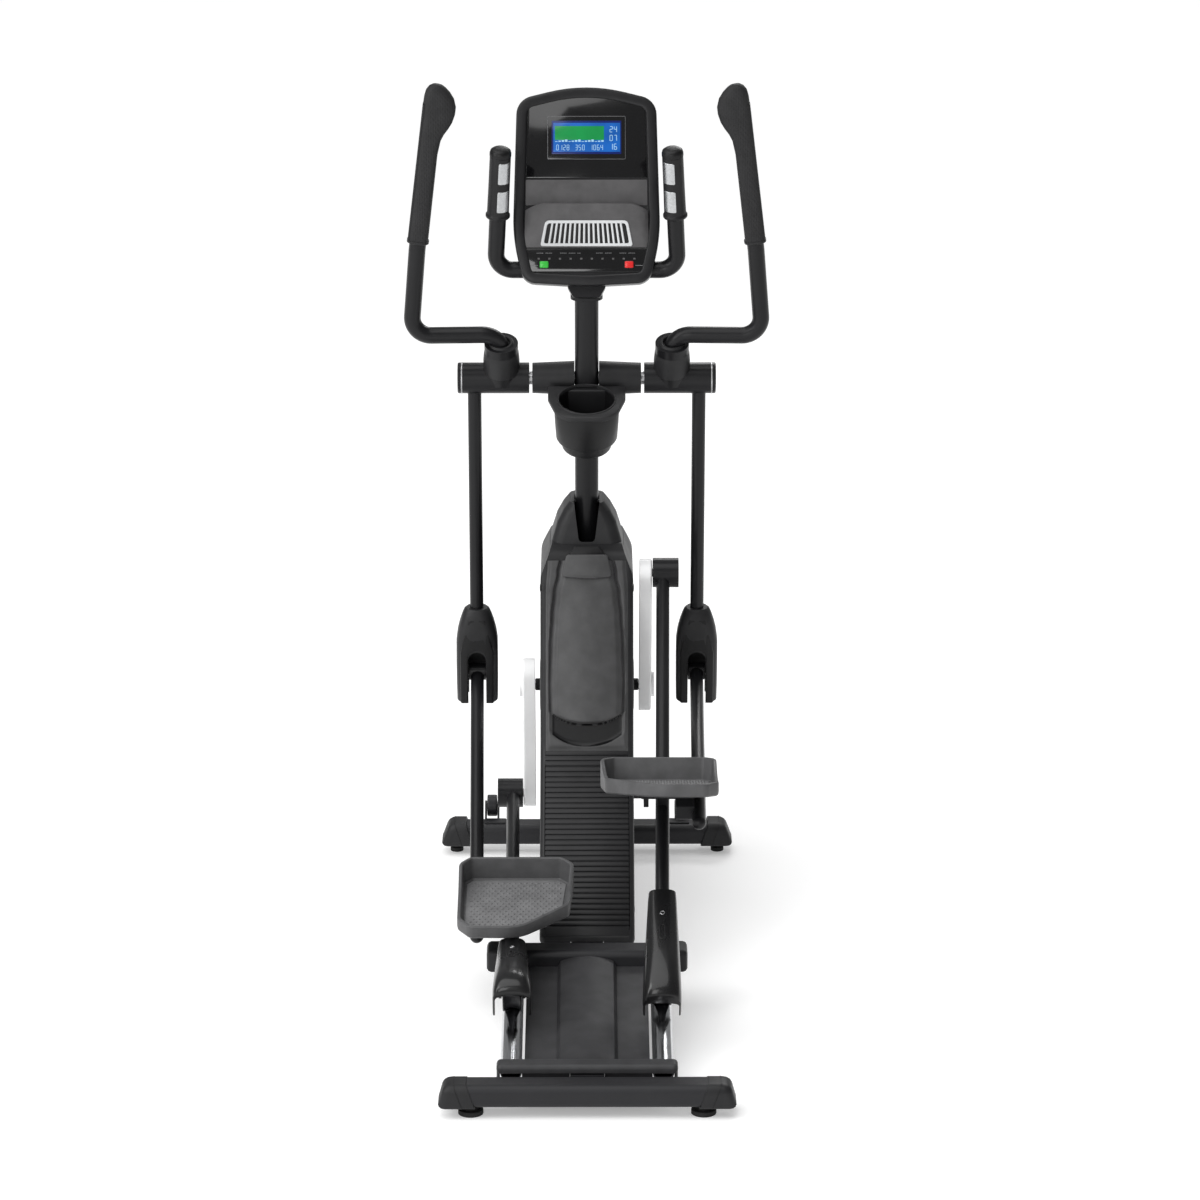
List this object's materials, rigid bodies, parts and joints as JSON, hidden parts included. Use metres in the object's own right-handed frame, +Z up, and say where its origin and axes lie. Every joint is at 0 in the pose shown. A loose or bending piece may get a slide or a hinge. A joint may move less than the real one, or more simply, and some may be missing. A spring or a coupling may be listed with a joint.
{
  "type": "elliptical trainer",
  "caption": "Stand-on elliptical trainer: front flywheel drive, rear roller rails, moving handlebars, tray pedals and a tilted console.",
  "frame": {"origin": "on the floor, at the centre of the machine's bounding box", "axes": "+Z up, +Y towards the console and flywheel end, +X to the user's right; the user stands at the rear facing +Y"},
  "size_m": [0.6898, 1.511, 1.6275],
  "materials": {
    "frame_steel": "semi-gloss black powder coat",
    "arm_steel": "satin black powder coat",
    "black_plastic": "fine-textured black moulding",
    "panel_plastic": "smooth dark grey moulding",
    "console_gloss": "gloss black with a matte lower half",
    "pedal_plastic": "pebbled black moulding",
    "rubber": "matte black rubber",
    "grip_foam": "soft black foam rubber",
    "roller_urethane": "polyurethane, slightly polished",
    "rail_steel": "bright chromed tube",
    "crank_silver": "silver paint",
    "bright_steel": "turned steel",
    "flywheel_iron": "turned cast iron",
    "pulley_aluminium": "cast aluminium",
    "display_glass": "lit liquid crystal display under a clear window",
    "grille_silver": "silver painted",
    "start_green": "green button",
    "stop_red": "red button"
  },
  "bodies": {
    "frame": {"frame_spine": "frame_steel", "front_stabiliser": "frame_steel", "rear_stabiliser": "frame_steel", "end_caps": "black_plastic", "levelling_feet": "rubber", "guide_rails": "rail_steel", "mid_crossmember": "frame_steel", "rear_tray": "black_plastic", "spine_cover": "black_plastic", "shroud_left": "black_plastic", "shroud_right": "black_plastic", "ribbed_cover": "black_plastic", "upper_panel": "panel_plastic", "mast_collar": "black_plastic", "mast": "frame_steel", "swing_axle": "bright_steel", "axle_cover": "black_plastic", "bottle_holder": "black_plastic", "console_back": "black_plastic", "console_front": "console_gloss", "display": "display_glass", "speaker_grille": "grille_silver", "keypad": "panel_plastic", "pulse_bars": "arm_steel", "pulse_grips": "rubber", "flywheel_axle": "bright_steel", "drive_belt": "rubber", "crank_bearings": "bright_steel", "power_inlet": "black_plastic"},
    "crank": {"crank_axle": "bright_steel", "crank_right": "crank_silver", "crank_left": "crank_silver", "drive_pulley": "pulley_aluminium"},
    "flywheel": {"flywheel": "flywheel_iron"},
    "idler": {"idler_wheel": "roller_urethane"},
    "magnet_brake": {"magnet_brake": "black_plastic"},
    "start_button": {"start_button": "start_green"},
    "stop_button": {"stop_button": "stop_red"},
    "transport_wheel_left": {"transport_wheel_left": "roller_urethane"},
    "transport_wheel_right": {"transport_wheel_right": "roller_urethane"},
    "swing_arm_right": {"swing_arm_right": "arm_steel", "knee_cover_right": "black_plastic", "handlebar_right": "arm_steel", "hand_grip_right": "grip_foam"},
    "pedal_arm_right": {"pedal_arm_right": "arm_steel", "pedal_right": "pedal_plastic"},
    "roller_axle_right": {"roller_axle_right": "bright_steel"},
    "roller_arm_right": {"roller_arm_right": "arm_steel", "roller_cover_right": "black_plastic"},
    "roller_right": {"roller_right": "roller_urethane"},
    "swing_arm_left": {"swing_arm_left": "arm_steel", "knee_cover_left": "black_plastic", "handlebar_left": "arm_steel", "hand_grip_left": "grip_foam"},
    "pedal_arm_left": {"pedal_arm_left": "arm_steel", "pedal_left": "pedal_plastic"},
    "roller_axle_left": {"roller_axle_left": "bright_steel"},
    "roller_arm_left": {"roller_arm_left": "arm_steel", "roller_cover_left": "black_plastic"},
    "roller_left": {"roller_left": "roller_urethane"}
  },
  "joints": [
    {"name": "crank_turn", "type": "hinge", "parent": "frame", "child": "crank", "pos_m": [0, 0.441, 0.425], "axis": [-1, 0, 0], "range_deg": [0, 30]},
    {"name": "flywheel_spin", "type": "hinge", "parent": "frame", "child": "flywheel", "pos_m": [0, 0.608, 0.262], "axis": [-1, 0, 0], "continuous": true},
    {"name": "idler_spin", "type": "hinge", "parent": "frame", "child": "idler", "pos_m": [0, 0.62711, 0.36218], "axis": [-1, 0, 0], "continuous": true},
    {"name": "magnet_lift", "type": "hinge", "parent": "frame", "child": "magnet_brake", "pos_m": [0, 0.576, 0.392], "axis": [1, 0, 0], "range_deg": [0, 6]},
    {"name": "swing_right", "type": "hinge", "parent": "frame", "child": "swing_arm_right", "pos_m": [0.178, 0.412, 1.044], "axis": [1, 0, 0], "range_deg": [0, 12.19]},
    {"name": "knee_right", "type": "hinge", "parent": "swing_arm_right", "child": "pedal_arm_right", "pos_m": [0.214, 0.4815, 0.43999], "axis": [1, 0, 0], "range_deg": [-10.23, 0]},
    {"name": "roller_travel_right", "type": "slide", "parent": "frame", "child": "roller_axle_right", "axis": [0, 0.9954, 0.0958], "range_m": [0, 0.12607]},
    {"name": "roller_arm_tilt_right", "type": "hinge", "parent": "roller_axle_right", "child": "roller_arm_right", "pos_m": [0.134, -0.43433, 0.12901], "axis": [1, 0, 0], "range_deg": [-0.6932, 0]},
    {"name": "roller_spin_right", "type": "hinge", "parent": "roller_axle_right", "child": "roller_right", "pos_m": [0.134, -0.43433, 0.12901], "axis": [-1, 0, 0], "continuous": true},
    {"name": "transport_spin_right", "type": "hinge", "parent": "frame", "child": "transport_wheel_right", "pos_m": [0.192, 0.7335, 0.08], "axis": [1, 0, 0], "continuous": true},
    {"name": "swing_left", "type": "hinge", "parent": "frame", "child": "swing_arm_left", "pos_m": [-0.178, 0.412, 1.044], "axis": [1, 0, 0], "range_deg": [-12.85, 0]},
    {"name": "knee_left", "type": "hinge", "parent": "swing_arm_left", "child": "pedal_arm_left", "pos_m": [-0.214, 0.48048, 0.43987], "axis": [1, 0, 0], "range_deg": [0, 13.74]},
    {"name": "roller_travel_left", "type": "slide", "parent": "frame", "child": "roller_axle_left", "axis": [0, 0.9954, 0.0958], "range_m": [-0.13196, 0]},
    {"name": "roller_arm_tilt_left", "type": "hinge", "parent": "roller_axle_left", "child": "roller_arm_left", "pos_m": [-0.134, -0.45726, 0.1268], "axis": [1, 0, 0], "range_deg": [0, 0.6121]},
    {"name": "roller_spin_left", "type": "hinge", "parent": "roller_axle_left", "child": "roller_left", "pos_m": [-0.134, -0.45726, 0.1268], "axis": [-1, 0, 0], "continuous": true},
    {"name": "transport_spin_left", "type": "hinge", "parent": "frame", "child": "transport_wheel_left", "pos_m": [-0.192, 0.7335, 0.08], "axis": [1, 0, 0], "continuous": true},
    {"name": "start_button_press", "type": "slide", "parent": "frame", "child": "start_button", "axis": [0, 0.9455, -0.3256], "range_m": [0, 0.0015], "stiffness_N_per_m": 800, "springref_m": -0.0005},
    {"name": "stop_button_press", "type": "slide", "parent": "frame", "child": "stop_button", "axis": [0, 0.9455, -0.3256], "range_m": [0, 0.0015], "stiffness_N_per_m": 800, "springref_m": -0.0005}
  ],
  "couplings": [
    {"joint": "flywheel_spin", "follows": "crank_turn", "ratio": 5.8333},
    {"joint": "idler_spin", "follows": "crank_turn", "ratio": -7.9444},
    {"joint": "swing_right", "follows": "crank_turn", "ratio": 0.40634},
    {"joint": "knee_right", "follows": "crank_turn", "ratio": -0.34116},
    {"joint": "roller_travel_right", "follows": "crank_turn", "m_per_rad": 0.24078},
    {"joint": "roller_arm_tilt_right", "follows": "crank_turn", "ratio": -0.023107},
    {"joint": "roller_spin_right", "follows": "crank_turn", "ratio": 7.767},
    {"joint": "swing_left", "follows": "crank_turn", "ratio": -0.42831},
    {"joint": "knee_left", "follows": "crank_turn", "ratio": 0.45791},
    {"joint": "roller_travel_left", "follows": "crank_turn", "m_per_rad": -0.25203},
    {"joint": "roller_arm_tilt_left", "follows": "crank_turn", "ratio": 0.020404},
    {"joint": "roller_spin_left", "follows": "crank_turn", "ratio": -8.13}
  ]
}
